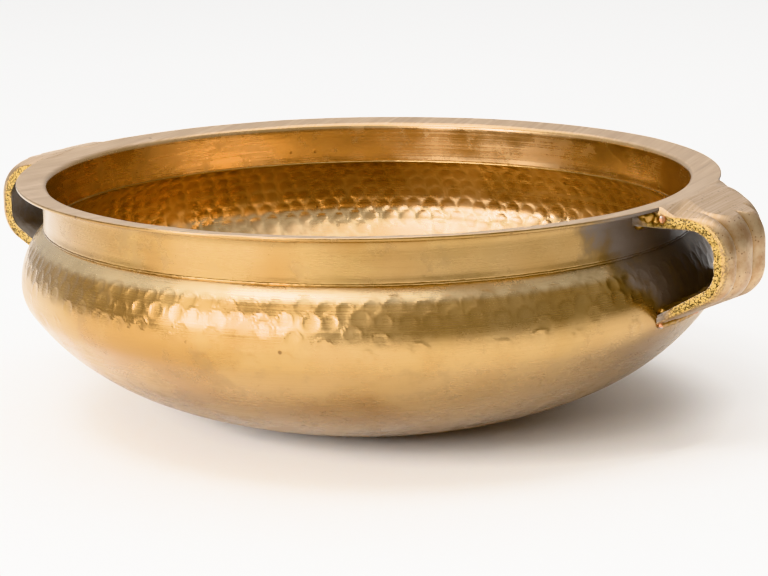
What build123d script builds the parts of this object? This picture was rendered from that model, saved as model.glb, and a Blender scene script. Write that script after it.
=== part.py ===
from build123d import *
import math
import os
from collections import namedtuple

# Brass urli: a wide hammered cooking bowl with an upright neck, a flat rim and two brazed lug handles.
# Millimetres, +Z up. The origin is the centre of the flat base, and the handles lie on the X axis.

# --- heights above the base ---
RIM_Z = 153.5            # highest line of the rim
SEAM_Z = 123.5           # joint between the neck collar and the hammered bowl
BELLY_Z = 90.0           # level of the widest part of the belly

# --- the hammered bowl: one even wall along a chain of tangent arcs ---
BELLY_R = 219.0          # outside radius at the widest level
WALL = 2.5
SHOULDER_ARC_R = 45.0    # from the seam down to the widest level
HIP_ARC_R, HIP_END = 26.0, 36.0          # radius, and the slope in degrees from vertical where it ends
FLANK_ARC_R, FLANK_END = 150.0, 66.0
UNDER_ARC_R = 335.0      # the shallow underside, down to the flattened base

# --- the neck collar with its everted rim ---
RIM_R = 220.0
NECK_R, NECK_INNER_R = (BELLY_R - SHOULDER_ARC_R + math.sqrt(arc_r ** 2 - (SEAM_Z - BELLY_Z) ** 2)
                        for arc_r in (SHOULDER_ARC_R, SHOULDER_ARC_R - WALL))   # flush with the bowl at the seam
NECK_TAPER = 0.4         # the neck's outside narrows this much up to the rim
RIM_FALL = 1.9           # the flat rim falls this much from its outer to its inner edge
RIM_EDGE = 2.5           # thickness at the rim's outer edge
UNDERSIDE_FALL = 0.6     # the rim's underside falls this much towards the neck
UNDER_RIM_FILLET = 7.0
RIM_EDGE_FILLET = 1.0
INNER_LIP_FILLET = 4.0

# --- the handles: castings with flutes that run down the outside, ground flat on top ---
FLUTE_EDGES = (-50.0, -38.0, -15.0, 6.0, 29.0, 50.0)   # along Y, on the right handle
FLUTE_RISE = 3.0         # how far a flute's crest stands above the grooves beside it
# The furthest reach, where that is along Y, how much less it is 50 mm before and after that, and how much
# the top rises towards +Y. Each handle in its own frame, on the +X side.
Plan = namedtuple("Plan", "reach furthest fall_before fall_after tilt")
RIGHT_PLAN = Plan(259.6, -5.0, 6.4, 24.0, 1.25)
LEFT_PLAN = Plan(256.1, 0.0, 8.5, 8.5, 0.0)
PLAN_POWER = 1.15        # the reach falls off a little faster than along two straight lines
STRAP = 7.2              # thickness of the strap
HANDLE_ROOT_R = 190.0    # both ends start inside the bowl's outline and are trimmed to it
GRIND = 4.4              # the casting's top starts this much too high, and is ground down to the rim
GROUND_FALL = 12.0       # degrees that the ground top slopes down, outwards from the rim
TOP_SIDE_FALL = 7.9      # the casting's top falls this much from its middle to its side edges
CORNER_DROP = 2.5        # below the rim, the outer corner of the top
CORNER_SIDE_FALL = 2.55  # the corner falls this much from the middle to the side edges
LOW_SIDE_RISE = 3.5      # the lower end is this much higher at the side edges
HOLLOW_DROP = 12.5       # below the rim, the underside of the top plate
OUTER_KNEE_DROP = 52.0   # below the rim, where the back of the strap turns in towards the belly
OUTER_ROOT_DROP = 84.0
INNER_KNEE_DROP = 43.7
INNER_ROOT_DROP = 81.0
OUTER_TOP_FILLET, OUTER_KNEE_FILLET = 24.0, 22.0
INNER_TOP_FILLET, INNER_KNEE_FILLET = 15.0, 13.0

# --- braze ---
SEAM_BEAD_R = 1.7
TOP_BEAD_R = 4.0         # fills the corner between a handle's top plate and the neck
TOP_BEAD_DROP = 12.5     # below the rim
TOP_BEAD_OFFSET = 1.0    # from the neck's outside
BOTTOM_BEAD_R = 2.6
LOW_BEAD_DROP, HIGH_BEAD_DROP = 70.6, 62.0   # below the rim, under and over the strap's lower end
LOW_BEAD_INSET, HIGH_BEAD_OFFSET = 0.2, 0.6  # from the belly's widest radius, inwards and outwards
BEAD_OVERRUN = 1.5       # degrees that a top bead runs past each side of a handle
BEAD_END_SOFTNESS = 0.8  # fillet at a bead's ends, as a share of its radius
SMALLEST_BEAD = 20.0     # mm3, trimming crumbs under this are dropped


def turned(face):
    """A solid of revolution about Z from a face in the XZ plane."""
    return revolve(face, Axis.Z, 360)


def outline_arcs(inset):
    """The bowl's section from the seam to the base, moved inwards by inset, as arcs with shared tangents."""
    chain = [(SHOULDER_ARC_R, 0.0), (HIP_ARC_R, HIP_END), (FLANK_ARC_R, FLANK_END), (UNDER_ARC_R, None)]
    arcs = []
    begin_angle = 0.0
    at_r, at_z = BELLY_R, BELLY_Z
    for radius, end_angle in chain:
        a = math.radians(begin_angle)
        centre_r = at_r - radius * math.cos(a)
        centre_z = at_z + radius * math.sin(a)
        inner = radius - inset
        first, last = begin_angle, end_angle
        if not arcs:
            first = -math.degrees(math.asin((SEAM_Z - BELLY_Z) / inner))
        if end_angle is None:
            last = math.degrees(math.asin((centre_z - inset) / inner))
        angles = [math.radians(first), math.radians((first + last) / 2), math.radians(last)]
        points = [(centre_r + inner * math.cos(t), centre_z - inner * math.sin(t)) for t in angles]
        arcs.append(points)
        begin_angle = last
        if end_angle is not None:
            b = math.radians(end_angle)
            at_r, at_z = centre_r + radius * math.cos(b), centre_z - radius * math.sin(b)
    return arcs


def arc_edges(arcs):
    return [Plane.XZ * ThreePointArc(*points) for points in arcs]


def straight(*points):
    return Plane.XZ * Polyline(*points)


def belly_bowl():
    outer, inner = outline_arcs(0.0), outline_arcs(WALL)
    edges = arc_edges(outer) + arc_edges(inner)
    edges.append(straight(outer[-1][-1], (0, 0), (0, WALL), inner[-1][-1]))
    edges.append(straight(outer[0][0], inner[0][0]))
    return turned(make_face(edges))


def bowl_envelope():
    """Everything inside the bowl's outer surface, up to the seam."""
    outer = outline_arcs(0.0)
    edges = arc_edges(outer) + [straight(outer[-1][-1], (0, 0), (0, SEAM_Z), outer[0][0])]
    return turned(make_face(edges))


def collar_section(inner_radius):
    underside_z = RIM_Z - RIM_EDGE - UNDERSIDE_FALL
    lip_z = RIM_Z - RIM_FALL
    points = [
        (inner_radius, SEAM_Z),
        (NECK_R, SEAM_Z),
        (NECK_R - NECK_TAPER, underside_z),
        (RIM_R, RIM_Z - RIM_EDGE),
        (RIM_R, RIM_Z),
        (inner_radius, lip_z),
    ]
    face = Plane.XZ * make_face(Polyline(*points, close=True))
    return fillet(corner(face, NECK_R, underside_z), UNDER_RIM_FILLET)


def corner(face, r, z):
    """The vertex of a section nearest to (r, z)."""
    return face.vertices().sort_by_distance((r, 0, z))[0]


def neck_collar():
    face = collar_section(NECK_INNER_R)
    face = fillet(corner(face, NECK_INNER_R, RIM_Z - RIM_FALL), INNER_LIP_FILLET)
    face = fillet([corner(face, RIM_R, RIM_Z), corner(face, RIM_R, RIM_Z - RIM_EDGE)], RIM_EDGE_FILLET)
    return turned(face)


def collar_envelope():
    """Everything inside the collar's outer surface, and all that lies above the rim."""
    over_rim = Cylinder(RIM_R, RIM_Z, align=(Align.CENTER, Align.CENTER, Align.MIN))
    return turned(collar_section(0.0)) + Pos(0, 0, RIM_Z - RIM_EDGE / 2) * over_rim


def seam_bead(inset, turn):
    """A bead in the corner where the collar meets the bowl's shoulder, which is inset from its outer surface.
    turn is 0 for the closed corner outside, and 360 for the wide corner inside."""
    arc_r = SHOULDER_ARC_R - inset
    slope = math.asin((SEAM_Z - BELLY_Z) / arc_r)
    root, half, low = [
        (BELLY_R - SHOULDER_ARC_R + arc_r * math.cos(slope - length / arc_r),
         BELLY_Z + arc_r * math.sin(slope - length / arc_r))
        for length in (0.0, SEAM_BEAD_R / 2, SEAM_BEAD_R)
    ]
    high = (root[0], root[1] + SEAM_BEAD_R)
    middle = (slope + math.radians(turn)) / 2
    crown = (root[0] + SEAM_BEAD_R * math.cos(middle), root[1] + SEAM_BEAD_R * math.sin(middle))
    edges = [Plane.XZ * edge for edge in (ThreePointArc(root, half, low), ThreePointArc(low, crown, high))]
    return turned(make_face([*edges, straight(high, root)]))


def collar_seam_braze():
    """One bead round the outside of the seam and one round the inside."""
    return Compound([seam_bead(0.0, 0.0), seam_bead(WALL, 360.0)])


def reach_at(t, plan):
    """How far the bottoms of the grooves reach from the bowl's axis, at t along Y."""
    fall = plan.fall_after if t > plan.furthest else plan.fall_before
    return plan.reach - fall * (abs(t - plan.furthest) / FLUTE_EDGES[-1]) ** PLAN_POWER


def strap_section(t, crest, plan):
    """The handle's C-shaped section in the plane at t along Y, on a flute's crest or in a groove."""
    side = t / FLUTE_EDGES[-1]
    back = reach_at(t, plan)
    hollow = back - STRAP
    crest_x = back + (FLUTE_RISE if crest else 0.0)
    top = RIM_Z + GRIND - TOP_SIDE_FALL * side ** 2 + plan.tilt * side
    corner = RIM_Z - CORNER_DROP - CORNER_SIDE_FALL * side ** 2 + plan.tilt * side
    low = RIM_Z + LOW_SIDE_RISE * side ** 2
    outer = FilletPolyline(
        (HANDLE_ROOT_R, top),
        (crest_x, corner),
        (crest_x, low - OUTER_KNEE_DROP),
        (HANDLE_ROOT_R, low - OUTER_ROOT_DROP),
        radius=[OUTER_TOP_FILLET, OUTER_KNEE_FILLET],
    )
    inner = FilletPolyline(
        (HANDLE_ROOT_R, RIM_Z - HOLLOW_DROP),
        (hollow, RIM_Z - HOLLOW_DROP),
        (hollow, RIM_Z - INNER_KNEE_DROP),
        (HANDLE_ROOT_R, low - INNER_ROOT_DROP),
        radius=[INNER_TOP_FILLET, INNER_KNEE_FILLET],
    )
    ends = [Line(outer @ 0, inner @ 0), Line(outer @ 1, inner @ 1)]
    plane = Plane(origin=(0, t, 0), x_dir=(1, 0, 0), z_dir=(0, -1, 0))
    return plane * make_face([*outer.edges(), *inner.edges(), *ends])


def ground_away():
    """All that lies above the ground top of a handle, which is level over the rim and slopes down outside it."""
    block = Box(RIM_R, RIM_R, RIM_R, align=(Align.CENTER, Align.CENTER, Align.MIN))
    over_rim = Pos(RIM_R, 0, RIM_Z)
    return over_rim * block + over_rim * Rot(0, GROUND_FALL, 0) * block


def handle(neck, belly, plan):
    """The casting on the +X side: flutes side by side, ground on top, trimmed to the neck and belly."""
    strap = None
    for low, high in zip(FLUTE_EDGES, FLUTE_EDGES[1:]):
        stations = [(low, False), ((low + high) / 2, True), (high, False)]
        flute = loft([strap_section(t, crest, plan) for t, crest in stations])
        strap = flute if strap is None else strap + flute
    trimmed = strap - ground_away() - neck - belly
    return trimmed.solids().sort_by(SortBy.VOLUME)[-1]


def bead_sector(radius, path_radius, z, half_angle):
    """A round bead about Z, from -half_angle to +half_angle off the +X axis, with softened ends."""
    ring = Plane.XZ * Location((path_radius, z)) * Circle(radius)
    bead = revolve(Rot(0, 0, -half_angle) * ring, Axis.Z, 2 * half_angle)
    ends = bead.faces().filter_by(GeomType.PLANE)
    return fillet(ends.edges(), BEAD_END_SOFTNESS * radius)


def trimmed_beads(beads, *neighbours):
    kept = []
    for bead in beads:
        for neighbour in neighbours:
            bead = bead - neighbour
        kept += [piece for piece in bead.solids() if piece.volume > SMALLEST_BEAD]
    return Compound(kept)


def handle_half_angle(radius):
    return math.degrees(math.asin(FLUTE_EDGES[-1] / radius))


def top_braze(casting, neck):
    half_angle = handle_half_angle(NECK_R) + BEAD_OVERRUN
    bead = bead_sector(TOP_BEAD_R, NECK_R + TOP_BEAD_OFFSET, RIM_Z - TOP_BEAD_DROP, half_angle)
    return trimmed_beads([bead], casting, neck)


def bottom_braze(casting, bowl):
    """One bead under the strap's lower end and one in the corner above it."""
    half_angle = handle_half_angle(BELLY_R)
    low = bead_sector(BOTTOM_BEAD_R, BELLY_R - LOW_BEAD_INSET, RIM_Z - LOW_BEAD_DROP, half_angle)
    high = bead_sector(BOTTOM_BEAD_R, BELLY_R + HIGH_BEAD_OFFSET, RIM_Z - HIGH_BEAD_DROP, half_angle)
    return trimmed_beads([low, high], casting, bowl)


def handle_nodes(side, turn, neck, belly, bowl, plan):
    """A handle and its braze, made on the +X side and turned about Z to where they belong."""
    casting = handle(neck, belly, plan)
    pieces = {
        f"handle_{side}": casting,
        f"handle_{side}_top_braze": top_braze(casting, neck),
        f"handle_{side}_bottom_braze": bottom_braze(casting, bowl),
    }
    return {name: Rot(0, 0, turn) * piece for name, piece in pieces.items()}


def make_nodes():
    bowl = belly_bowl()
    neck, belly = collar_envelope(), bowl_envelope()
    nodes = {
        "belly_bowl": bowl,
        "neck_collar": neck_collar(),
        "collar_seam_braze": collar_seam_braze(),
    }
    nodes.update(handle_nodes("right", 0, neck, belly, bowl, RIGHT_PLAN))
    nodes.update(handle_nodes("left", 180, neck, belly, bowl, LEFT_PLAN))
    return nodes


os.makedirs("parts", exist_ok=True)
for node, shape in make_nodes().items():
    export_step(shape, f"parts/{node}.step")
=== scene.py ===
import itertools
import math
from collections import namedtuple

import bpy
import numpy as np
from mathutils import Matrix, Vector


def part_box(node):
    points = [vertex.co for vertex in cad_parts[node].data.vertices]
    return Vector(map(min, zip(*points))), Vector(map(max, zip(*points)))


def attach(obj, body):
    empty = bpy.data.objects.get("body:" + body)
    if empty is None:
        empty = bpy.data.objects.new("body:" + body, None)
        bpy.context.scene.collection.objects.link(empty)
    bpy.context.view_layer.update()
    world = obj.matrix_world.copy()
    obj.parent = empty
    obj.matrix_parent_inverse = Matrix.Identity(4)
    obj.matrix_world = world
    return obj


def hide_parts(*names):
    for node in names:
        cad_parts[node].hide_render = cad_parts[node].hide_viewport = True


# The looks of a brass urli: hammered bowl, turned neck and rim, two rough cast handles with soot behind.
# Metres, +Z up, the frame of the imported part. Lengths written as n * MM are millimetres.

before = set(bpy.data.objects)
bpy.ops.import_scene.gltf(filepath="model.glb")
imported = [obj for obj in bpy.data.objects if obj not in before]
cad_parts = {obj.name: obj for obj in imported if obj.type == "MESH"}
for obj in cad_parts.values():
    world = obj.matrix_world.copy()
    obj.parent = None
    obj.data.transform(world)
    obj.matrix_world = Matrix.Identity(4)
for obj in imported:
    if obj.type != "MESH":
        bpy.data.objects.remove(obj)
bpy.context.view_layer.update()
MM = 0.001

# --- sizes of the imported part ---
BELLY_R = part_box("belly_bowl")[1].x
SEAM_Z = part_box("belly_bowl")[1].z
RIM_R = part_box("neck_collar")[1].x
RIM_Z = SEAM_Z + 30 * MM
BELLY_Z = 90 * MM
WALL = 2.5 * MM
SHOULDER_ARC_R = 45 * MM
# the arcs below the bowl's widest place: radius, and the slope in degrees where each ends
LOWER_ARCS = ((26 * MM, 36), (150 * MM, 66), (335 * MM, None))
RIM_FALL = 1.9 * MM
RIM_EDGE = 2.5 * MM
UNDERSIDE_FALL = 0.6 * MM
NECK_TAPER = 0.4 * MM
TOP_CLEARANCE = 0.1 * MM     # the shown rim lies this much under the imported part's highest point
NECK_R, NECK_INNER_R = (BELLY_R - SHOULDER_ARC_R + math.sqrt(arc_r ** 2 - (SEAM_Z - BELLY_Z) ** 2)
                        for arc_r in (SHOULDER_ARC_R, SHOULDER_ARC_R - WALL))
FLUTE_EDGES = tuple(v * MM for v in (-50, -38, -15, 6, 29, 50))
FLUTE_RISE = 3 * MM
GROOVE_DEPTH = 2.3 * MM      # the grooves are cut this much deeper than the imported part's
HANDLE_HALF = FLUTE_EDGES[-1]
# how far a handle's crest reaches, where along Y that is, how much less it reaches half a width before and
# after, the top's rise at its far side, and the handle's turn about Z
Plan = namedtuple("Plan", "reach furthest fall_before fall_after tilt turn")
HANDLES = {"right": Plan(259.6 * MM, -5 * MM, 6.4 * MM, 24 * MM, 1.25 * MM, 0.0),
           "left": Plan(255.9 * MM, 0.0, 8.5 * MM, 8.5 * MM, 0.0, math.pi)}
PLAN_POWER = 1.15
STRAP = 7.2 * MM
HANDLE_ROOT_R = 190 * MM
GROUND_SLOPE = math.tan(math.radians(12))
# heights of the strap's corners: over (rise) or under (drop) the rim at its middle, and the change at its sides
TOP_RISE, TOP_SIDE_FALL = 4.4 * MM, 7.9 * MM
CORNER_DROP, CORNER_SIDE_FALL = 2.5 * MM, 2.55 * MM
KNEE_DROP, ROOT_DROP, LOW_SIDE_RISE = 52 * MM, 84 * MM, 3.5 * MM
HOLLOW_DROP, HOLLOW_KNEE_DROP, HOLLOW_ROOT_DROP = 12.5 * MM, 43.7 * MM, 81 * MM
OUTER_FILLETS, INNER_FILLETS = (24 * MM, 22 * MM), (15 * MM, 13 * MM)
ROOT_SINK, LOW_ROOT_SINK = 1.5 * MM, 0.8 * MM    # how far the strap's ends run into the wall
# braze: drops under the rim, and each lump's distance from the axis, drop and radius in millimetres
TOP_BEAD_DROP, LOW_BEAD_DROP, HIGH_BEAD_DROP = 12.3 * MM, 70.6 * MM, 62 * MM
LUMPS = ((205, 5.6, 2.9), (208.5, 6.2, 3.2), (212, 8.4, 2.5), (215.5, 7.6, 2.6))
LUMP_SIDE = 50.6 * MM
SEAM_BEAD_SINK, SEAM_BEAD_RISE = 0.55 * MM, 0.2 * MM

# --- hammer marks, in millimetres and down the section from the seam ---
Row = namedtuple("Row", "at pitch radius size deep wander kept")
OUTER_ROWS = (Row(14.2, 13.2, 212, 4.9, 0.30, 0.45, 1.0), Row(22.0, 13.4, 216, 5.1, 0.26, 0.9, 0.92),
              Row(30, 16, 218, 5.0, 0.15, 1.8, 0.6), Row(41, 24, 219, 4.6, 0.16, 4.0, 0.6))
UPPER_INNER_PLACES, UPPER_INNER = (5.5, 50, 8.6), Row(0, 11.8, 212, 5.4, 0.42, 0.7, 1.0)
LOWER_INNER_PLACES, LOWER_INNER = (56, 265, 14.5), Row(0, 17, 0, 6.0, 0.24, 2.4, 0.9)
PLAIN_MIDDLE_R = 16 * MM                 # no marks inside nearer to the axis than this
OUTER_LOWER_EDGE, INNER_LOWER_EDGE = 0.15, 0.8   # how strong a mark's lower edge is beside its upper edge

# --- soot: how many degrees it reaches to each side of a handle's middle at these heights ---
SOOT_HEIGHTS = tuple(v * MM for v in (84, 92, 104, 120, 134, 150))
SOOT_REACH = (4, 13.5, 16.5, 20.5, 25, 27)

# --- how fine the meshes are ---
COLUMNS = 960                # round the hammered part of the bowl
FINE = 1.45 * MM             # rows of the hammered part
RIM_COLUMNS = 720
STRAIGHT_STEPS, FILLET_STEPS = (30, 8, 22), (26, 20)   # along a handle's strap
FLUTE_STEP = 0.95 * MM
EDGE_STEPS = 8               # down a handle's side

LATTICE = np.random.default_rng(5).uniform(-1, 1, (32, 32, 32))


def grain(points, size, shift=0.0):
    """Smooth values from -1 to 1 at each point, which change over about size."""
    q = np.asarray(points) / size + shift
    cell = np.floor(q).astype(int)
    f = q - cell
    f = f * f * (3 - 2 * f)
    total = 0.0
    for corner in itertools.product((0, 1), repeat=3):
        c = np.array(corner)
        weight = np.prod(np.where(c == 1, f, 1 - f), axis=-1)
        j = (cell + c) % 32
        total = total + weight * LATTICE[j[..., 0], j[..., 1], j[..., 2]]
    return total


def smooth(x, low, high):
    t = np.clip((x - low) / (high - low), 0, 1)
    return t * t * (3 - 2 * t)


def make_mesh(name, points, faces, **values):
    """A smooth-shaded object; values are named numbers stored at its points."""
    mesh = bpy.data.meshes.new(name)
    mesh.from_pydata([tuple(p) for p in points], [], faces)
    mesh.validate()
    for key, data in values.items():
        mesh.attributes.new(key, "FLOAT", "POINT").data.foreach_set("value", np.asarray(data, np.float32))
    mesh.shade_smooth()
    piece = bpy.data.objects.new(name, mesh)
    bpy.context.scene.collection.objects.link(piece)
    return piece


# ---------------------------------------------------------------- turned forms

def outline_arcs(inset):
    """The bowl's section as arcs: centre radius, centre height, radius, first and last angle below level."""
    arc_r = SHOULDER_ARC_R - inset
    arcs = [(BELLY_R - SHOULDER_ARC_R, BELLY_Z, arc_r, -math.asin((SEAM_Z - BELLY_Z) / arc_r), 0.0)]
    begin, at_r, at_z = 0.0, BELLY_R, BELLY_Z
    for radius, end_degrees in LOWER_ARCS:
        centre_r = at_r - radius * math.cos(begin)
        centre_z = at_z + radius * math.sin(begin)
        if end_degrees is None:
            end = math.asin((centre_z - inset) / (radius - inset))
        else:
            end = math.radians(end_degrees)
        arcs.append((centre_r, centre_z, radius - inset, begin, end))
        begin, at_r, at_z = end, centre_r + radius * math.cos(end), centre_z - radius * math.sin(end)
    return arcs


def along(arcs, s):
    """Radius, height and outward normal at distances s down the section from the seam, and where arcs end."""
    s = np.asarray(s, float)
    r, z, nr, nz = (np.zeros_like(s) for _ in range(4))
    start = 0.0
    for centre_r, centre_z, radius, first, last in arcs:
        a = np.clip(first + (s - start) / radius, first, last)
        here = s >= start - 1e-9
        r[here], z[here] = (centre_r + radius * np.cos(a))[here], (centre_z - radius * np.sin(a))[here]
        nr[here], nz[here] = np.cos(a)[here], -np.sin(a)[here]
        start += radius * (last - first)
    flat = s > start
    r[flat] = r[flat] - (s[flat] - start)
    nr[flat], nz[flat] = 0.0, -1.0
    return r, z, nr, nz, start


def join_rings(low, high, low_count, high_count):
    """Faces between two rings of points that start at these indices; one may have twice the other's count."""
    faces = []
    if low_count == high_count:
        for j in range(low_count):
            k = (j + 1) % low_count
            faces.append((low + j, high + j, high + k, low + k))
    elif low_count == 2 * high_count:
        for j in range(high_count):
            k = (j + 1) % high_count
            a, b, c = low + 2 * j, low + 2 * j + 1, low + (2 * j + 2) % low_count
            faces += [(a, high + j, b), (b, high + j, high + k), (b, high + k, c)]
    else:
        for j in range(low_count):
            k = (j + 1) % low_count
            a, b, c = high + 2 * j, high + 2 * j + 1, high + (2 * j + 2) % high_count
            faces += [(low + j, a, b), (low + j, b, low + k), (low + k, b, c)]
    return faces


def strike(bands, marks, lower_edge):
    """Hammer marks on bands of rings. Each band holds s, r and a count; returns per band the depth and the
    nearness to a mark's edge, which is lower_edge as strong at the mark's lower end as at its upper end."""
    results = []
    for s, r, count in bands:
        depth, edge = np.zeros((len(s), count)), np.zeros((len(s), count))
        step = 2 * math.pi / count
        for angle, at, size, deep in marks:
            i0, i1 = np.searchsorted(s, (at - 1.5 * size, at + 1.5 * size))
            if i0 >= i1 or r[i0:i1].min() < 4 * size:
                continue
            half = int(1.5 * size / r[i0:i1].min() / step) + 1
            j = int(round(angle / step)) + np.arange(-half, half + 1)
            across = r[i0:i1, None] * (j * step - angle)
            rho = np.hypot(across, s[i0:i1, None] - at) / size
            block = np.ix_(range(i0, i1), j % count)
            depth[block] = np.maximum(depth[block], deep * np.clip(1 - rho ** 2, 0, None))
            old = np.where(rho < 0.85, 0.25 * edge[block], edge[block])
            down = np.clip((s[i0:i1, None] - at) / size, -1, 1)
            crisp = np.exp(-((rho - 1.0) / 0.24) ** 2) * (1 - (1 - lower_edge) * smooth(down, -0.4, 0.7))
            edge[block] = np.maximum(old, crisp)
        results.append((depth, edge))
    return results


def row_of_marks(rng, row):
    """A row of hammer marks: each one's angle, place down the section, size and depth."""
    count = int(2 * math.pi * row.radius / row.pitch)
    begin = rng.uniform(0, 2 * math.pi)
    marks = []
    for k in range(count):
        angle = begin + (k + rng.uniform(-0.14, 0.14)) * 2 * math.pi / count
        place = (row.at + rng.normal(0, row.wander)) * MM
        mark = (angle, place, row.size * MM * rng.uniform(0.88, 1.15), row.deep * MM * rng.uniform(0.6, 1.25))
        if rng.uniform() < row.kept:
            marks.append(mark)
    return marks


def soot_at(points):
    """How sooty the bowl and neck are: the black behind each handle, and its soft edge on either side."""
    x, y, z = points[:, 0], points[:, 1], points[:, 2]
    off = np.degrees(np.abs(np.arctan2(y, np.abs(x))))
    reach = np.interp(z, SOOT_HEIGHTS, SOOT_REACH)
    wander = 2.2 * grain(points, 16 * MM) + 1.2 * grain(points, 6 * MM)
    soft = np.interp(z, [92 * MM, 150 * MM], [5.0, 8.5])
    side = 1 - smooth(off + wander, reach - soft, reach + soft)
    return side * smooth(z + 2 * MM * grain(points, 9 * MM), 84 * MM, 96 * MM)


def bowl_mesh():
    """The hammered bowl as one closed skin: down the outside, across the base and up the inside."""
    rng = np.random.default_rng(11)
    outer_marks = [mark for row in OUTER_ROWS for mark in row_of_marks(rng, row)]
    inner_marks = []
    for at in np.arange(*UPPER_INNER_PLACES):
        inner_marks += row_of_marks(rng, UPPER_INNER._replace(at=at))
    inner_arcs = outline_arcs(WALL)
    for at in np.arange(*LOWER_INNER_PLACES):
        radius = along(inner_arcs, [at * MM])[0][0]
        if radius > PLAIN_MIDDLE_R:
            inner_marks += row_of_marks(rng, LOWER_INNER._replace(at=at, radius=radius / MM))

    def skin(arcs, plan, marks, inward):
        """Rings of points with their edge values and counts. plan lists the end, spacing and columns of each
        band; inward is -1 on the inside."""
        bands, start = [], 0.0
        for end, spacing, count in plan:
            rows = max(2, int(round((end - start) / spacing)))
            s = start + (end - start) * np.arange(rows) / rows
            bands.append((s, along(arcs, s)[0], count))
            start = end
        listed = []
        struck = strike(bands, marks, OUTER_LOWER_EDGE if inward > 0 else INNER_LOWER_EDGE)
        for (s, _, count), (depth, edge) in zip(bands, struck):
            r, z, nr, nz, _ = along(arcs, s)
            angle = 2 * math.pi * np.arange(count) / count
            cosine, sine = np.cos(angle), np.sin(angle)
            base = np.stack([r[:, None] * cosine, r[:, None] * sine, np.repeat(z[:, None], count, 1)], -1)
            uneven = 0.16 * MM * (grain(base, 34 * MM) - 1) + 0.05 * MM * (grain(base, 13 * MM) - 1)
            fade = smooth(s, 0.0, 5 * MM)[:, None] * smooth(r, 20 * MM, 60 * MM)[:, None]
            if inward > 0:
                flat_base = smooth(z, 0.0, 4 * MM)[:, None]
                off = (uneven * flat_base - depth) * fade
            else:
                off = depth * fade + 0.6 * uneven * fade
            base[..., 0] += off * nr[:, None] * cosine
            base[..., 1] += off * nr[:, None] * sine
            base[..., 2] += off * nz[:, None]
            for i in range(len(s)):
                listed.append((base[i], edge[i] * fade[i], count))
        return listed

    total = along(outline_arcs(0.0), [0.0])[4]
    inner_total = along(inner_arcs, [0.0])[4]
    outer_plan = [(34 * MM, FINE, COLUMNS), (60 * MM, 2.2 * MM, COLUMNS // 2),
                  (150 * MM, 5 * MM, COLUMNS // 2), (total, 6 * MM, COLUMNS // 4),
                  (total + 50 * MM, 10 * MM, COLUMNS // 8)]
    inner_plan = [(50 * MM, FINE, COLUMNS), (140 * MM, 2.3 * MM, COLUMNS // 2),
                  (215 * MM, 2.8 * MM, COLUMNS // 4), (inner_total + 50 * MM, 4 * MM, COLUMNS // 8)]
    outside = skin(outline_arcs(0.0), outer_plan, outer_marks, 1)
    inside = skin(inner_arcs, inner_plan, inner_marks, -1)[::-1]
    points, faces, edges, rings = [], [], [], []
    for ring, edge, count in outside + inside:
        rings.append((len(points), count))
        points += list(ring)
        edges += list(edge)
    insides = [0.0] * sum(count for *_, count in outside) + [1.0] * sum(count for *_, count in inside)
    for (a, a_count), (b, b_count) in zip(rings, rings[1:] + rings[:1]):
        if a == rings[len(outside) - 1][0]:
            continue
        faces += join_rings(a, b, a_count, b_count)
    for (ring, count), height, flip in ((rings[len(outside) - 1], 0.0, False),
                                        (rings[len(outside)], WALL, True)):
        hub = len(points)
        points.append((0.0, 0.0, height))
        edges.append(0.0)
        insides.append(1.0 if flip else 0.0)
        for j in range(count):
            k = (j + 1) % count
            faces.append((hub, ring + j, ring + k) if flip else (ring + j, hub, ring + k))
    points, outer = np.array(points), 1 - np.array(insides)
    # a band just under the seam outside, which the material tints paler: a painted highlight where the shoulder
    # catches the light from above
    band = smooth(points[:, 2], SEAM_Z - 10 * MM, SEAM_Z - 6 * MM) * outer
    return make_mesh("hammered_bowl", points, faces, mark_edge=edges, inside=insides, burnished=band,
                     soot=soot_at(points) * outer)


def rounded(corners, radii, straight_counts, arc_counts):
    """Points on a line with rounded corners. The counts are the points on each run and on each corner."""
    corners = [np.array(c, float) for c in corners]
    points, at = [], corners[0]
    for i, radius in enumerate(radii):
        here = corners[i + 1]
        back, on = corners[i] - here, corners[i + 2] - here
        back, on = back / np.linalg.norm(back), on / np.linalg.norm(on)
        half = math.acos(np.clip(back @ on, -1, 1)) / 2
        reach = radius / math.tan(half)
        middle = (back + on) / np.linalg.norm(back + on)
        centre = here + middle * radius / math.sin(half)
        first, last = here + back * reach, here + on * reach
        points += [at + (first - at) * k / straight_counts[i] for k in range(straight_counts[i])]
        a0 = math.atan2(*(first - centre)[::-1])
        a1 = math.atan2(*(last - centre)[::-1])
        turn = (a1 - a0 + math.pi) % (2 * math.pi) - math.pi
        for k in range(arc_counts[i]):
            a = a0 + turn * k / arc_counts[i]
            points.append(centre + radius * np.array([math.cos(a), math.sin(a)]))
        at = last
    points += [at + (corners[-1] - at) * k / straight_counts[-1] for k in range(straight_counts[-1] + 1)]
    return np.array(points)


def rim_top(r):
    return RIM_Z - TOP_CLEARANCE - RIM_FALL * (RIM_R - r) / (RIM_R - NECK_INNER_R)


def turn_section(section, count):
    """The points of a closed section turned about Z, the outward normal of each, and the angles turned to."""
    before, after = np.roll(section, 1, 0), np.roll(section, -1, 0)
    way = after - before
    way /= np.linalg.norm(way, axis=1)[:, None]
    normal = np.stack([-way[:, 1], way[:, 0]], 1)
    angle = 2 * math.pi * np.arange(count) / count
    grid = np.stack([section[:, :1] * np.cos(angle), section[:, :1] * np.sin(angle),
                     np.repeat(section[:, 1:], count, 1)], -1)
    out = np.stack([normal[:, :1] * np.cos(angle), normal[:, :1] * np.sin(angle),
                    np.repeat(normal[:, 1:], count, 1)], -1)
    return grid, out, angle


def ring_faces(rows, count):
    faces = []
    for i in range(rows):
        faces += join_rings(i * count, ((i + 1) % rows) * count, count, count)
    return faces


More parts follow.
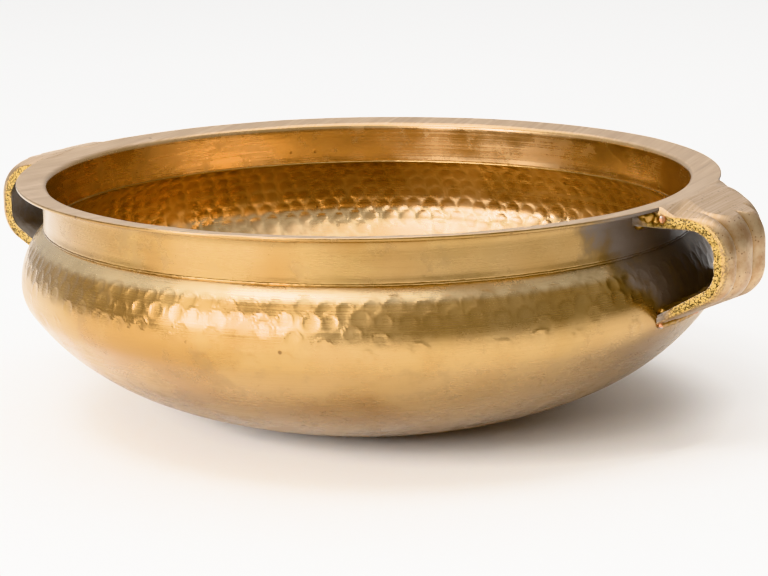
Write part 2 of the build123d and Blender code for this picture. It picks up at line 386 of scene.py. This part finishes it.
def collar_mesh():
    """The neck with its everted rim: slightly uneven by hand, with a softly faceted neck."""
    underside = RIM_Z - TOP_CLEARANCE - RIM_EDGE - UNDERSIDE_FALL
    corners = [(NECK_INNER_R, SEAM_Z), (NECK_INNER_R, rim_top(NECK_INNER_R)), (RIM_R, rim_top(RIM_R)),
               (RIM_R, rim_top(RIM_R) - RIM_EDGE), (NECK_R - NECK_TAPER, underside), (NECK_R, SEAM_Z)]
    section = rounded(corners, [4 * MM, 0.9 * MM, 1.0 * MM, 6.5 * MM], [14, 9, 2, 4, 12], [6, 4, 4, 7])
    grid, out, angle = turn_section(section, RIM_COLUMNS)
    r, z = section[:, 0][:, None], section[:, 1][:, None]
    flange = smooth(r, NECK_R, RIM_R)
    upright = grid * np.array([1, 1, 0.25])
    neck_wave = 0.28 * MM * (grain(upright, 38 * MM, 3.3) - 1) + 0.07 * MM * (grain(grid, 12 * MM) - 1)
    fade = smooth(z, SEAM_Z, SEAM_Z + 5 * MM) * (1 - flange)
    push = neck_wave * fade
    filed = 0.55 * MM * (grain(grid * np.array([1, 1, 0]), 55 * MM, 7.7) - 1)
    filed = filed * smooth(r, RIM_R - 2 * MM, RIM_R)
    grid = grid + out * push[..., None]
    grid[..., 0] += filed * np.cos(angle)
    grid[..., 1] += filed * np.sin(angle)
    top = smooth(out[..., 2], 0.6, 0.95)
    grid[..., 2] += top * 0.14 * MM * (grain(grid * np.array([1, 1, 0]), 30 * MM, 1.9) - 1)
    points = grid.reshape(-1, 3)
    outside = (out[..., 0] * np.cos(angle) + out[..., 1] * np.sin(angle)) > -0.2
    ground = smooth(out[..., 2], 0.55, 0.9) * np.ones_like(push)
    soot = soot_at(points) * (outside.reshape(-1)) * (1 - ground.reshape(-1))
    return make_mesh("neck_and_rim", points, ring_faces(len(section), RIM_COLUMNS),
                     soot=soot, ground=ground.reshape(-1), inside=1.0 - outside.reshape(-1))


def bead(path_r, height, first, last, radius, count, around, rough, seed):
    """Points and faces of an uneven bead of braze along a circle about Z, closed and rounded at its ends."""
    whole = last - first >= 2 * math.pi - 1e-6
    angle = np.linspace(first, last, count, endpoint=not whole)
    turn = 2 * math.pi * np.arange(around) / around
    if whole:
        swell = np.ones(count)
    else:
        end = np.clip(np.minimum(angle - first, last - angle) * path_r / radius, 0, 1)
        swell = np.sqrt(1 - (1 - end) ** 2) + 0.02
    radial = path_r + radius * swell[:, None] * np.cos(turn)
    z = height + radius * swell[:, None] * np.sin(turn)
    grid = np.stack([radial * np.cos(angle)[:, None], radial * np.sin(angle)[:, None], z], -1)
    middle = np.stack([path_r * np.cos(angle), path_r * np.sin(angle), np.full(count, height)], -1)
    middle = middle[:, None, :]
    lumps = 1 + rough * (0.6 * grain(grid, 2.2 * radius, seed) + 0.4 * grain(grid, 0.8 * radius, seed + 3))
    grid = middle + (grid - middle) * lumps[..., None]
    faces = []
    for i in range(count if whole else count - 1):
        k = (i + 1) % count
        for j in range(around):
            m = (j + 1) % around
            faces.append((i * around + j, k * around + j, k * around + m, i * around + m))
    points = list(grid.reshape(-1, 3))
    if not whole:
        for ring, flip in ((0, True), (count - 1, False)):
            hub = len(points)
            points.append(grid[ring].mean(0))
            for j in range(around):
                a, b = ring * around + j, ring * around + (j + 1) % around
                faces.append((hub, a, b) if flip else (hub, b, a))
    return points, [f[::-1] for f in faces]


def joined(name, parts, **values):
    """One object made of several parts' points and faces; values are functions of its points."""
    points, faces = [], []
    for part_points, part_faces in parts:
        shift = len(points)
        points += list(part_points)
        faces += [tuple(v + shift for v in face) for face in part_faces]
    points = np.array(points)
    return make_mesh(name, points, faces, **{key: make(points) for key, make in values.items()})


def blob(centre, radius, seed):
    """A lump of spilled braze."""
    rows, around = 12, 18
    points = []
    for i in range(1, rows):
        for j in range(around):
            a, b = math.pi * i / rows, 2 * math.pi * j / around
            points.append((math.sin(a) * math.cos(b), math.sin(a) * math.sin(b), math.cos(a)))
    points += [(0, 0, 1), (0, 0, -1)]
    points = np.array(points) * radius
    points *= (1 + 0.4 * grain(points, radius, seed) + 0.2 * grain(points, 0.4 * radius, seed))[:, None]
    faces = []
    for i in range(rows - 2):
        for j in range(around):
            k = (j + 1) % around
            faces.append((i * around + j, (i + 1) * around + j, (i + 1) * around + k, i * around + k))
    top, bottom, last = len(points) - 2, len(points) - 1, (rows - 2) * around
    for j in range(around):
        k = (j + 1) % around
        faces += [(top, j, k), (last + j, bottom, last + k)]
    return points + np.array(centre), faces


# ---------------------------------------------------------------- handles

def surface_r(z):
    """Outside radius of the bowl and neck at a height."""
    arc_r = SHOULDER_ARC_R
    shoulder = BELLY_R - arc_r + np.sqrt(np.clip(arc_r ** 2 - (z - BELLY_Z) ** 2, 0, None))
    hip = LOWER_ARCS[0][0]
    below = BELLY_R - hip + np.sqrt(np.clip(hip ** 2 - (z - BELLY_Z) ** 2, 0, None))
    return np.where(z > SEAM_Z, NECK_R, np.where(z > BELLY_Z, shoulder, below))


def handle_sections(plan):
    """The outer and inner lines of the strap at columns across it, as stations by columns by (x, y, z), and
    how near each column is to the bottom of a groove."""
    columns = []
    for low, high in zip(FLUTE_EDGES, FLUTE_EDGES[1:]):
        count = max(12, int(round((high - low) / FLUTE_STEP)))
        columns += [(low + (high - low) * k / count, 1 - (2 * k / count - 1) ** 2) for k in range(count)]
    columns.append((HANDLE_HALF, 0.0))
    outer_lines, inner_lines = [], []
    for t, crest in columns:
        side = t / HANDLE_HALF
        fall = plan.fall_after if t > plan.furthest else plan.fall_before
        back = plan.reach - fall * (abs(t - plan.furthest) / HANDLE_HALF) ** PLAN_POWER
        hollow = back - STRAP
        crest_x = back + FLUTE_RISE - (FLUTE_RISE + GROOVE_DEPTH) * (1 - crest) ** 1.4
        top = RIM_Z + TOP_RISE - TOP_SIDE_FALL * side ** 2 + plan.tilt * side
        corner = RIM_Z - CORNER_DROP - CORNER_SIDE_FALL * side ** 2 + plan.tilt * side
        rise = LOW_SIDE_RISE * side ** 2
        neck_x = math.sqrt(NECK_R ** 2 - t ** 2) - ROOT_SINK
        low_x = math.sqrt((BELLY_R - LOW_ROOT_SINK) ** 2 - t ** 2) - ROOT_SINK
        neck_z = top + (corner - top) * (neck_x - HANDLE_ROOT_R) / (crest_x - HANDLE_ROOT_R)
        knee, root = RIM_Z - KNEE_DROP + rise, RIM_Z - ROOT_DROP + rise
        low_z = root + (knee - root) * (low_x - HANDLE_ROOT_R) / (crest_x - HANDLE_ROOT_R)
        outer = rounded([(neck_x, neck_z), (crest_x, corner), (crest_x, knee), (low_x, low_z)],
                        OUTER_FILLETS, STRAIGHT_STEPS, FILLET_STEPS)
        roof, knee, root = RIM_Z - HOLLOW_DROP, RIM_Z - HOLLOW_KNEE_DROP, RIM_Z - HOLLOW_ROOT_DROP + rise
        low_z = root + (knee - root) * (low_x - HANDLE_ROOT_R) / (hollow - HANDLE_ROOT_R)
        inner = rounded([(neck_x, roof), (hollow, roof), (hollow, knee), (low_x, low_z)],
                        INNER_FILLETS, STRAIGHT_STEPS, FILLET_STEPS)
        outer_lines.append(np.stack([outer[:, 0], np.full(len(outer), t), outer[:, 1]], -1))
        inner_lines.append(np.stack([inner[:, 0], np.full(len(inner), t), inner[:, 1]], -1))
    depth = np.array([1 - crest for _, crest in columns])
    return np.stack(outer_lines, 1), np.stack(inner_lines, 1), depth


def handle_mesh(side):
    """A cast strap as one closed skin, rough at its edges, with its top ground flush with the rim."""
    outer, inner, groove_depth = handle_sections(HANDLES[side])
    shift = 11.0 if side == "left" else 0.0    # so that the two castings are rough in different places
    blend = (np.arange(EDGE_STEPS) + 1) / (EDGE_STEPS + 1)

    def wall(a, b):
        """Points that lead from the line a to the line b down a side of the strap, slightly rounded."""
        line = a[:, None] + (b - a)[:, None] * blend[None, :, None]
        line[..., 1] += np.sign(a[0, 1]) * -1.2 * MM * (2 * np.abs(blend - 0.5)) ** 3
        return line

    far_wall, near_wall = wall(outer[:, -1], inner[:, -1]), wall(inner[:, 0], outer[:, 0])
    grid = np.concatenate([outer, far_wall, inner[:, ::-1], near_wall], 1)
    stations, loop = grid.shape[:2]
    columns = outer.shape[1]
    kind = np.zeros((stations, loop))
    kind[:, columns:columns + EDGE_STEPS] = 1.0
    kind[:, 2 * columns + EDGE_STEPS:] = 1.0
    groove = np.zeros((stations, loop))
    groove[:, :columns] = smooth(groove_depth, 0.45, 1.0)
    inner_side = np.zeros((stations, loop))
    inner_side[:, columns + EDGE_STEPS:2 * columns + EDGE_STEPS] = 1.0
    near_edge = smooth(np.abs(grid[..., 1]), HANDLE_HALF - 2.6 * MM, HANDLE_HALF - 0.4 * MM)
    rough = np.maximum(kind, 0.55 * near_edge)

    faces = ring_faces(stations, loop)[:(stations - 1) * loop]
    flat = grid.reshape(-1, 3)
    mesh = bpy.data.meshes.new("shape")
    mesh.from_pydata([tuple(p) for p in flat], [], faces)
    normal = np.zeros(len(flat) * 3)
    mesh.vertices.foreach_get("normal", normal)
    normal = normal.reshape(-1, 3)
    bpy.data.meshes.remove(mesh)
    amount = rough.reshape(-1)
    cast = 0.45 * grain(flat, 2.6 * MM, shift) + 0.35 * grain(flat, 1.4 * MM, shift + 4) - 0.2
    dents = 0.10 * (grain(flat, 16 * MM, shift + 2) - 1) + 0.045 * (grain(flat, 4 * MM, shift + 5) - 1)
    flat = flat + normal * (MM * (0.85 * cast * amount + dents * (1 - amount)))[:, None]

    # the ground top: nothing stands over the plane that slopes down from the rim, and over the rim a thin skin
    # of metal runs in to an uneven line
    r = np.hypot(flat[:, 0], flat[:, 1])
    outside = np.tile(np.arange(loop) < columns, stations)
    upward = smooth(normal[:, 2], 0.55, 0.85) * outside
    filled = RIM_Z - 0.4 * MM - 0.6 * np.clip(r - RIM_R, 0, None)
    flat[:, 2] = np.where((upward > 0.5) & (r > RIM_R - 6 * MM), np.maximum(flat[:, 2], filled), flat[:, 2])
    plane = RIM_Z - TOP_CLEARANCE - np.clip(flat[:, 0] - RIM_R, 0, None) * GROUND_SLOPE
    skin_in = RIM_R - 3.2 * MM + 1.6 * MM * grain(flat * np.array([0, 1, 0]), 7 * MM, shift + 1)
    over = rim_top(np.minimum(r, RIM_R)) + 0.06 * MM - smooth(skin_in - r, -0.6 * MM, 0.8 * MM) * 1.3 * MM
    limit = np.where(r < RIM_R, over, plane + 0.06 * MM)
    ground = np.maximum(upward, smooth(flat[:, 2] - limit, -0.35 * MM, 0.05 * MM) * outside)
    flat[:, 2] = np.minimum(flat[:, 2], limit)

    # both ends stay inside the wall that they are brazed to
    r = np.hypot(flat[:, 0], flat[:, 1])
    least = surface_r(flat[:, 2]) - 1.4 * MM
    pull = np.where(r < least, least / r, 1.0)
    flat[:, 0] *= pull
    flat[:, 1] *= pull
    for ring, flip in ((0, True), ((stations - 1) * loop, False)):
        facing = ring + 2 * columns + EDGE_STEPS - 1
        across = [(ring + j, ring + j + 1, facing - 1 - j, facing - j) for j in range(columns - 1)]
        across.append(tuple(ring + j for j in range(columns - 1, columns + EDGE_STEPS + 1)))
        across.append(tuple(ring + j for j in range(2 * columns + EDGE_STEPS - 1, loop)) + (ring,))
        faces += [face[::-1] for face in across] if flip else across
    rooted = 1 - smooth(np.hypot(flat[:, 0], flat[:, 1]) - surface_r(flat[:, 2]), 2 * MM, 11 * MM)
    blackened = np.maximum(0.95 * inner_side.reshape(-1), 0.9 * rooted * kind.reshape(-1))
    granular = rough.reshape(-1) * (1 - ground) * (1 - rooted)
    spin = np.array(Matrix.Rotation(HANDLES[side].turn, 3, "Z"))
    return make_mesh(f"fluted_handle_{side}", flat @ spin.T, faces, rough_cast=granular, ground=ground,
                     soot=blackened, hollow=inner_side.reshape(-1), groove=groove.reshape(-1))


def top_bead(side):
    """The braze under a handle's top: a bead along the neck, and lumps of spilled metal at both of its ends."""
    turn, seed = HANDLES[side].turn, 2.0 if side == "right" else 8.0
    half = math.asin(HANDLE_HALF / NECK_R) - 0.01
    parts = [bead(NECK_R + 1.4 * MM, RIM_Z - TOP_BEAD_DROP, turn - half, turn + half, 3.0 * MM, 150, 14,
                  0.3, seed)]
    for end in (-1, 1):
        for out, drop, size in LUMPS:
            spot = Vector((out * MM, end * LUMP_SIDE, RIM_Z - drop * MM))
            parts.append(blob(Matrix.Rotation(turn, 3, "Z") @ spot, size * MM, seed + out + end))
    return joined(f"handle_{side}_top_braze_lumps", parts, coppery=coppery_at)


def bottom_bead(side):
    """The braze along a handle's foot: a bead under it and one in its hollow."""
    turn, seed = HANDLES[side].turn, 4.0 if side == "right" else 6.0
    half = math.asin(HANDLE_HALF / BELLY_R) - 0.012
    first, last = turn - half, turn + half
    low = bead(BELLY_R - 0.4 * MM, RIM_Z - LOW_BEAD_DROP, first, last, 1.9 * MM, 150, 12, 0.35, seed)
    high = bead(BELLY_R + 0.6 * MM, RIM_Z - HIGH_BEAD_DROP, first, last, 2.5 * MM, 150, 12, 0.35, seed + 1)
    return joined(f"handle_{side}_bottom_braze_lumps", [low, high], coppery=coppery_at)


def coppery_at(points):
    """Where the braze has turned coppery or silvery."""
    return smooth(grain(points, 7 * MM, 5.0), -0.05, 0.25)


def seam_bead():
    """The braze round the seam of bowl and neck, outside and inside."""
    height, round_once = SEAM_Z + SEAM_BEAD_RISE, 2 * math.pi
    outside = bead(NECK_R - SEAM_BEAD_SINK, height, 0.0, round_once, 0.95 * MM, 1000, 12, 0.3, 1.0)
    inside = bead(NECK_INNER_R + SEAM_BEAD_SINK, height, 0.0, round_once, 0.9 * MM, 900, 12, 0.3, 9.0)

    def soot_outside(points):
        return soot_at(points) * (np.hypot(points[:, 0], points[:, 1]) > NECK_R - 2 * MM)

    return joined("collar_seam_bead", [outside, inside], soot=soot_outside)


# ---------------------------------------------------------------- materials

class Look:
    """A material built by short calls. Constant numbers and colours go straight onto the sockets."""

    def __init__(self, name, **constants):
        self.material = bpy.data.materials.new(name)
        self.material.use_nodes = True
        self.tree = self.material.node_tree
        self.shader = self.tree.nodes["Principled BSDF"]
        for key, value in constants.items():
            self.shader.inputs[key.replace("_", " ")].default_value = value
        self.place = self.tree.nodes.new("ShaderNodeTexCoord").outputs["Object"]

    def node(self, kind, inputs, **settings):
        node = self.tree.nodes.new("ShaderNode" + kind)
        for key, value in settings.items():
            setattr(node, key, value)
        for key, value in inputs.items():
            if isinstance(value, bpy.types.NodeSocket):
                self.tree.links.new(value, node.inputs[key])
            else:
                node.inputs[key].default_value = value
        return node

    def stretched(self, stretch, turn=0.0):
        settings = {"Vector": self.place, "Scale": stretch, "Rotation": (0.0, 0.0, turn)}
        return self.node("Mapping", settings).outputs["Vector"]

    def noise(self, scale, detail=3.0, coarse=0.5, vector=None):
        settings = {"Vector": vector or self.place, "Scale": scale, "Detail": detail, "Roughness": coarse}
        return self.node("TexNoise", settings).outputs["Fac"]

    def cells(self, scale, vector=None):
        settings = {"Vector": vector or self.place, "Scale": scale}
        return self.node("TexVoronoi", settings).outputs["Distance"]

    def span(self, value, low, high, to_low=0.0, to_high=1.0):
        """value between low and high, carried smoothly to to_low and to_high."""
        settings = {0: value, 1: low, 2: high, 3: to_low, 4: to_high}
        return self.node("MapRange", settings, interpolation_type="SMOOTHSTEP").outputs["Result"]

    def times(self, a, b):
        return self.node("Math", {0: a, 1: b}, operation="MULTIPLY").outputs[0]

    def plus(self, a, b):
        return self.node("Math", {0: a, 1: b}, operation="ADD").outputs[0]

    def less(self, a, b):
        return self.node("Math", {0: a, 1: b}, operation="SUBTRACT").outputs[0]

    def most(self, a, b):
        return self.node("Math", {0: a, 1: b}, operation="MAXIMUM").outputs[0]

    def blend(self, factor, a, b):
        settings = {"Factor": factor, "A": a, "B": b}
        return self.node("Mix", settings, data_type="FLOAT").outputs["Result"]

    def tint(self, factor, a, b):
        node = self.node("Mix", {}, data_type="RGBA")
        for socket, value in ((node.inputs["Factor"], factor), (node.inputs[6], a), (node.inputs[7], b)):
            if isinstance(value, bpy.types.NodeSocket):
                self.tree.links.new(value, socket)
            else:
                socket.default_value = value if isinstance(value, float) else (*value, 1.0)
        return node.outputs[2]

    def attribute(self, name):
        node = self.tree.nodes.new("ShaderNodeAttribute")
        node.attribute_name = name
        return node.outputs["Fac"]

    def bump(self, height, distance, under=None):
        settings = {"Height": height, "Distance": distance, "Strength": 1.0}
        if under:
            settings["Normal"] = under
        return self.node("Bump", settings).outputs["Normal"]

    def finish(self, colour, metallic, roughness, normal):
        for key, value in (("Base Color", colour), ("Metallic", metallic), ("Roughness", roughness),
                           ("Normal", normal)):
            self.tree.links.new(value, self.shader.inputs[key])
        return self.material


GOLD, PALE_GOLD, DEEP_GOLD = (0.37, 0.226, 0.082), (0.43, 0.28, 0.125), (0.31, 0.172, 0.057)
# INNER_EDGE_HIGHLIGHT is the paler tint of the painted highlight on the inside marks' edges
INNER_GOLD, INNER_DEEP, INNER_EDGE_HIGHLIGHT = (0.53, 0.35, 0.185), (0.45, 0.285, 0.135), (0.68, 0.50, 0.28)
# the paler tint of the painted highlight on the shoulder under the seam
SHOULDER_HIGHLIGHT_TINT = (0.60, 0.45, 0.26)
# STAIN_AND_SHADE is a real stain on the brushing lines, painted shade on the hammer marks' edges outside, and
# the darker tint in the handles' grooves
GROUND_DEEP, GROUND_TINT, STAIN_AND_SHADE = (0.49, 0.335, 0.20), (0.60, 0.455, 0.33), (0.24, 0.13, 0.045)
CAST_PINK, CAST_GREY = (0.36, 0.225, 0.13), (0.46, 0.34, 0.22)
GRAIN_GOLD, GRAIN_DARK = (0.50, 0.33, 0.105), (0.07, 0.045, 0.018)
SOOT_FRINGE, SOOT_DARK, SOOT_GREY = (0.20, 0.135, 0.07), (0.15, 0.12, 0.10), (0.31, 0.275, 0.24)
COPPER, SILVER, PIT_BROWN = (0.50, 0.24, 0.13), (0.46, 0.42, 0.38), (0.12, 0.06, 0.025)
GRIND_TURN = math.radians(-28)


def brass(name, satin, pits=0.0, as_cast=0.0, tone=1.0):
    """Brass. satin is the roughness of the plain metal; pits and as_cast add to casting marks on it; tone
    scales how bright it is outside."""
    look = Look(name, Coat_Weight=0.15, Coat_Roughness=0.3)
    mottle = look.noise(26.0, 5.0, 0.55)
    patches = look.noise(9.0, 3.0)
    fine = look.noise(420.0, 3.0, 0.6)
    hoops = look.noise(1.0, 3.0, 0.6, look.stretched((9.0, 9.0, 1500.0)))
    strokes = look.noise(1.0, 3.0, 0.6, look.stretched((900.0, 14.0, 14.0), GRIND_TURN))
    edge, soot, ground = look.attribute("mark_edge"), look.attribute("soot"), look.attribute("ground")
    cast, hollow, inside = look.attribute("rough_cast"), look.attribute("hollow"), look.attribute("inside")

    gold, pale, deep = (tuple(tone * v for v in tint) for tint in (GOLD, PALE_GOLD, DEEP_GOLD))
    colour = look.tint(look.span(mottle, 0.38, 0.66), deep, gold)
    colour = look.tint(look.span(patches, 0.42, 0.7, 0.0, 0.8), colour, pale)
    # painted highlight: the shoulder band under the seam is tinted paler
    colour = look.tint(look.attribute("burnished"), colour, SHOULDER_HIGHLIGHT_TINT)
    within = look.tint(look.span(mottle, 0.38, 0.66), INNER_DEEP, INNER_GOLD)
    # painted highlight: inside, each hammer mark's edge is tinted paler, a bright ring round the mark
    within = look.tint(look.times(edge, 0.6), within, INNER_EDGE_HIGHLIGHT)
    colour = look.tint(look.times(look.span(hoops, 0.45, 0.75), 0.09), colour, STAIN_AND_SHADE)
    # painted shade: outside, each hammer mark's edge is tinted darker, along the ring it leaves
    edge_shade = look.times(edge, look.span(fine, 0.35, 0.6, 0.3, 0.8))
    colour = look.tint(look.times(edge_shade, 0.5), colour, STAIN_AND_SHADE)
    colour = look.tint(inside, colour, within)
    speck = look.span(look.cells(75.0), 0.05, 0.13, 1.0, 0.0)
    speck = look.times(speck, look.span(look.noise(60.0, 2.0), 0.53, 0.6))
    pit = look.span(look.cells(430.0), 0.12, 0.3, 1.0, 0.0)
    pit = look.times(pit, look.span(look.noise(240.0, 2.0), 0.45, 0.6))
    pitted = look.most(look.times(speck, 0.8), look.times(pit, pits))
    if as_cast:
        rosy = look.tint(look.span(look.noise(130.0, 4.0, 0.65), 0.35, 0.65), CAST_PINK, CAST_GREY)
        colour = look.tint(as_cast, colour, rosy)
    # the handles' grooves are tinted darker towards their bottoms
    colour = look.tint(look.times(look.attribute("groove"), 0.55), colour, STAIN_AND_SHADE)
    filed = look.tint(look.span(strokes, 0.35, 0.7), GROUND_DEEP, GROUND_TINT)
    colour = look.tint(look.times(ground, 0.95), colour, filed)
    sparkle = look.noise(900.0, 3.0, 0.7)
    colour = look.tint(cast, colour, look.tint(look.span(sparkle, 0.41, 0.58), GRAIN_DARK, GRAIN_GOLD))
    colour = look.tint(pitted, colour, PIT_BROWN)

    smoke = look.noise(55.0, 5.0, 0.65)
    smoky = look.plus(soot, look.span(smoke, 0.3, 0.7, -0.26, 0.26))
    sootable = look.less(1.0, look.most(look.times(ground, 0.9), look.times(cast, 0.85)))
    fringe = look.times(look.span(smoky, 0.05, 0.6), sootable)
    black = look.times(look.span(smoky, 0.35, 1.0), sootable)
    dark = look.tint(look.times(hollow, look.span(smoke, 0.35, 0.6, 0.35, 1.0)), SOOT_DARK, SOOT_GREY)
    colour = look.tint(look.times(fringe, 0.7), colour, SOOT_FRINGE)
    colour = look.tint(look.times(black, 0.93), colour, dark)

    metallic = look.less(1.0, look.times(black, 0.8))
    roughness = look.blend(look.span(mottle, 0.3, 0.7), satin - 0.05, satin + 0.07)
    roughness = look.plus(roughness, look.span(hoops, 0.3, 0.7, -0.03, 0.05))
    roughness = look.blend(ground, roughness, look.span(strokes, 0.3, 0.7, 0.36, 0.52))
    roughness = look.blend(look.most(look.times(cast, 0.8), as_cast), roughness, 0.46)
    roughness = look.blend(fringe, roughness, look.span(smoke, 0.3, 0.7, 0.38, 0.56))

    normal = look.bump(look.times(hoops, look.less(1.0, ground)), 0.022 * MM)
    normal = look.bump(look.times(strokes, ground), 0.05 * MM, normal)
    normal = look.bump(fine, 0.025 * MM, normal)
    normal = look.bump(edge, 0.20 * MM, normal)
    normal = look.bump(pitted, -0.12 * MM, normal)
    normal = look.bump(look.times(sparkle, cast), 0.8 * MM, normal)
    return look.finish(colour, metallic, roughness, normal)


def braze_look(name):
    """The lumpy filler metal along a joint: brass, turning coppery and silvery where it is thick."""
    look = Look(name)
    mottle, fine = look.noise(120.0, 4.0, 0.6), look.noise(700.0, 3.0, 0.6)
    colour = look.tint(look.span(mottle, 0.35, 0.65), DEEP_GOLD, GOLD)
    colour = look.tint(look.attribute("coppery"), colour,
                       look.tint(look.span(look.noise(190.0, 2.0), 0.47, 0.55), COPPER, SILVER))
    smoky = look.plus(look.attribute("soot"), look.span(mottle, 0.3, 0.7, -0.3, 0.3))
    soot = look.span(smoky, 0.3, 1.0, 0.0, 0.85)
    colour = look.tint(soot, colour, SOOT_DARK)
    normal = look.bump(fine, 0.12 * MM, look.bump(mottle, 0.3 * MM))
    metallic, roughness = look.less(1.0, look.times(soot, 0.4)), look.span(mottle, 0.3, 0.7, 0.38, 0.52)
    return look.finish(colour, metallic, roughness, normal)


def floor_look():
    look = Look("pale_floor")
    colour = look.tint(look.noise(30.0, 3.0), (0.93, 0.93, 0.93), (0.95, 0.95, 0.95))
    look.tree.links.new(colour, look.shader.inputs["Base Color"])
    look.shader.inputs["Roughness"].default_value = 0.9
    look.shader.inputs["Specular IOR Level"].default_value = 0.0
    return look.material


# ---------------------------------------------------------------- the scene

def dress(piece, node, material):
    """Give a piece its material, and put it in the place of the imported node."""
    piece.data.materials.append(material)
    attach(piece, "root")
    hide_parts(node)


def build_object():
    hammered = brass("hammered_brass", 0.26, pits=0.1)
    brushed = brass("brushed_brass", 0.23, pits=0.05, tone=0.80)
    cast = brass("cast_brass", 0.34, pits=0.7, as_cast=0.8)
    braze = braze_look("braze")
    dress(bowl_mesh(), "belly_bowl", hammered)
    dress(collar_mesh(), "neck_collar", brushed)
    dress(seam_bead(), "collar_seam_braze", brushed)
    for side in HANDLES:
        dress(handle_mesh(side), f"handle_{side}", cast)
        dress(top_bead(side), f"handle_{side}_top_braze", braze)
        dress(bottom_bead(side), f"handle_{side}_bottom_braze", braze)


FLOOR_RADIUS = 14
WORLD_TINT, WORLD_LEVEL, WORLD_SLOPE = (1.0, 0.99, 0.975, 1.0), 0.67, (-0.16, -0.10, 0.30)
# name, direction round Z and rise in degrees, width, watts
SOFTBOXES = (("left_softbox", -116, 17, 0.34, 30), ("middle_softbox", -92, 17, 0.24, 21),
             ("shoulder_softbox", -106, 60, 0.9, 22))
SOFTBOX_FAR, SOFTBOX_HIGH = 1.9, 0.55
LIGHT_AIM = Vector((0, 0, 0.1))
OVERHEAD_PLACE, OVERHEAD_SIDE, OVERHEAD_WATTS = (-0.3, 0.0, 2.8), 3.2, 66
CAMERA_FAR, CAMERA_AZIMUTH, CAMERA_RISE, CAMERA_ROLL = 1.5, math.radians(28.0), math.radians(9.79), -0.854
CAMERA_LENS, SENSOR_WIDTH = 111.72, 36
AIM_RIGHT, AIM_DOWN = 0.00861, 0.07546       # from the middle of the rim's plane to the middle of the view


def area_light(name, place, size, power):
    data = bpy.data.lights.new(name, "AREA")
    data.shape, data.size, data.size_y = "RECTANGLE", *size
    data.energy = power
    light = bpy.data.objects.new(name, data)
    bpy.context.scene.collection.objects.link(light)
    light.location = place
    light.rotation_euler = (LIGHT_AIM - Vector(place)).to_track_quat("-Z", "Y").to_euler()


def studio():
    """A pale floor, a soft sky that is brighter overhead and to the left, and four soft lights."""
    bpy.ops.mesh.primitive_circle_add(vertices=96, radius=FLOOR_RADIUS, fill_type="NGON")
    floor = bpy.context.object
    floor.name = "studio_floor"
    floor.data.materials.append(floor_look())
    world = bpy.data.worlds.new("studio_world")
    world.use_nodes = True
    nodes, links = world.node_tree.nodes, world.node_tree.links
    way = nodes.new("ShaderNodeTexCoord")
    slope = nodes.new("ShaderNodeVectorMath")
    slope.operation = "DOT_PRODUCT"
    slope.inputs[1].default_value = WORLD_SLOPE
    level = nodes.new("ShaderNodeMath")
    level.inputs[1].default_value = WORLD_LEVEL
    links.new(way.outputs["Generated"], slope.inputs[0])
    links.new(slope.outputs["Value"], level.inputs[0])
    links.new(level.outputs[0], nodes["Background"].inputs["Strength"])
    nodes["Background"].inputs["Color"].default_value = WORLD_TINT
    bpy.context.scene.world = world
    for name, azimuth, rise, width, power in SOFTBOXES:
        a, e = math.radians(azimuth), math.radians(rise)
        way_out = Vector((math.cos(e) * math.cos(a), math.cos(e) * math.sin(a), math.sin(e)))
        area_light(name, LIGHT_AIM + SOFTBOX_FAR * way_out, (width, SOFTBOX_HIGH), power)
    area_light("overhead", OVERHEAD_PLACE, (OVERHEAD_SIDE, OVERHEAD_SIDE), OVERHEAD_WATTS)
    bpy.context.scene.view_settings.view_transform = "Khronos PBR Neutral"


def camera():
    target = Vector((0.0, 0.0, RIM_Z))
    level = math.cos(CAMERA_RISE)
    away = Vector((level * math.sin(CAMERA_AZIMUTH), -level * math.cos(CAMERA_AZIMUTH), math.sin(CAMERA_RISE)))
    place = target + away * CAMERA_FAR
    right = Vector((math.cos(CAMERA_AZIMUTH), math.sin(CAMERA_AZIMUTH), 0.0))
    up = away.cross(right)
    forward = (target + right * AIM_RIGHT - up * AIM_DOWN - place).normalized()
    data = bpy.data.cameras.new("camera")
    data.lens, data.sensor_width = CAMERA_LENS, SENSOR_WIDTH
    piece = bpy.data.objects.new("camera", data)
    bpy.context.scene.collection.objects.link(piece)
    piece.location = place
    roll = Matrix.Rotation(math.radians(CAMERA_ROLL), 3, "Z")
    piece.rotation_euler = (forward.to_track_quat("-Z", "Y").to_matrix() @ roll).to_euler()
    bpy.context.scene.camera = piece


build_object()
studio()
camera()
